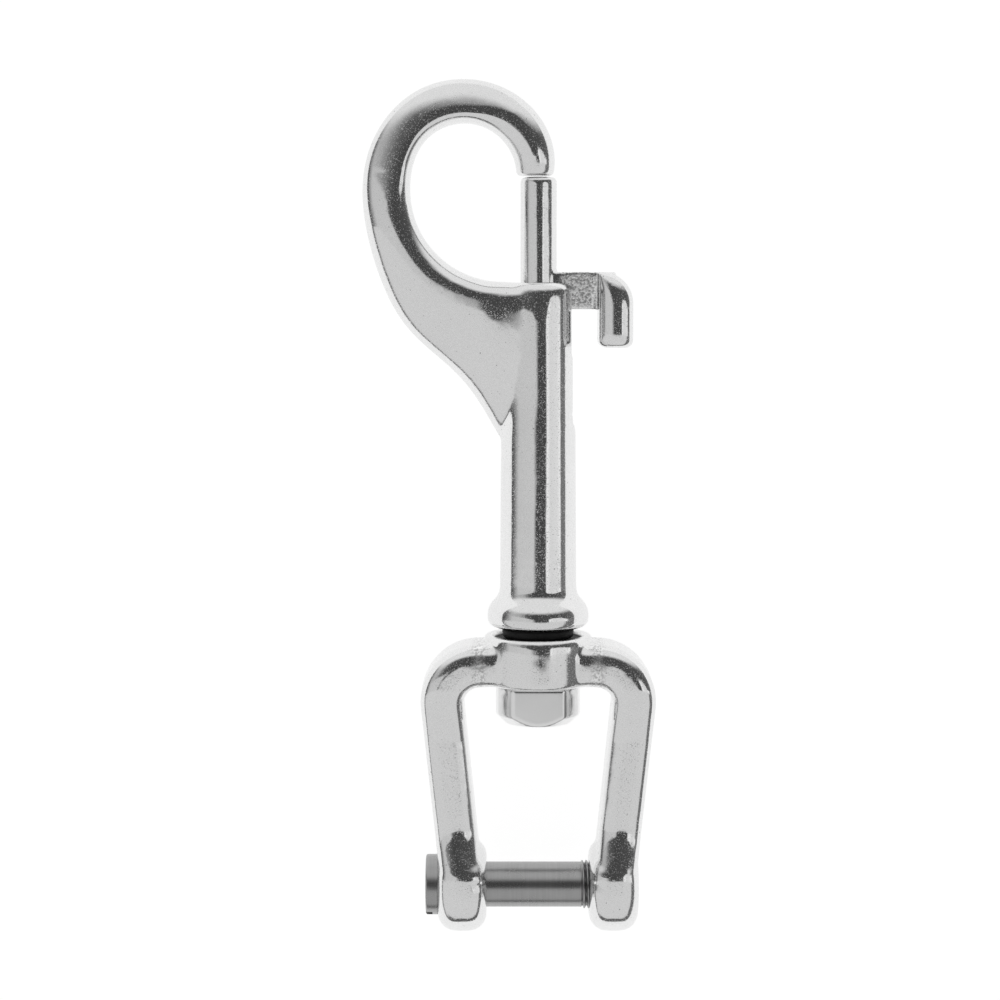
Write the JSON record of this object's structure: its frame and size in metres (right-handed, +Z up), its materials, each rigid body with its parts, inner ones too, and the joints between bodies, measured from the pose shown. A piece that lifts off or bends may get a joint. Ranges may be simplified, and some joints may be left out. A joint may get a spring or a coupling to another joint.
{
  "type": "swivel jaw snap hook",
  "caption": "Cast stainless steel bolt snap hook with a sliding gate rod and thumb pad, and a swivelling forked jaw closed by a slotted screw pin.",
  "frame": {"origin": "middle of the jaw pin, on the swivel axis", "axes": "+X along the jaw pin to its threaded end, +Y along the swivel axis to the hook's nose, +Z up from the back that the hook lies on"},
  "size_m": [0.0342, 0.1, 0.0128],
  "materials": {
    "polished_steel": "polished cast stainless steel",
    "satin_steel": "satin turned stainless steel",
    "spring_steel": "drawn wire"
  },
  "bodies": {
    "hook": {"hook_body": "polished_steel", "gate_spring": "spring_steel", "swivel_pin": "satin_steel"},
    "gate": {"plunger": "polished_steel"},
    "jaw": {"fork": "polished_steel"},
    "pin": {"jaw_pin": "satin_steel"}
  },
  "joints": [
    {"name": "gate_slide", "type": "slide", "parent": "hook", "child": "gate", "axis": [0, -1, 0], "range_m": [0, 0.0124], "stiffness_N_per_m": 600, "springref_m": -0.008, "deforming": ["gate_spring"]},
    {"name": "swivel", "type": "hinge", "parent": "hook", "child": "jaw", "pos_m": [0, 0.027, 0], "axis": [0, 1, 0], "continuous": true},
    {"name": "jaw_pin_slide", "type": "slide", "parent": "jaw", "child": "pin", "axis": [-1, 0, 0], "range_m": [0, 0.033]}
  ]
}
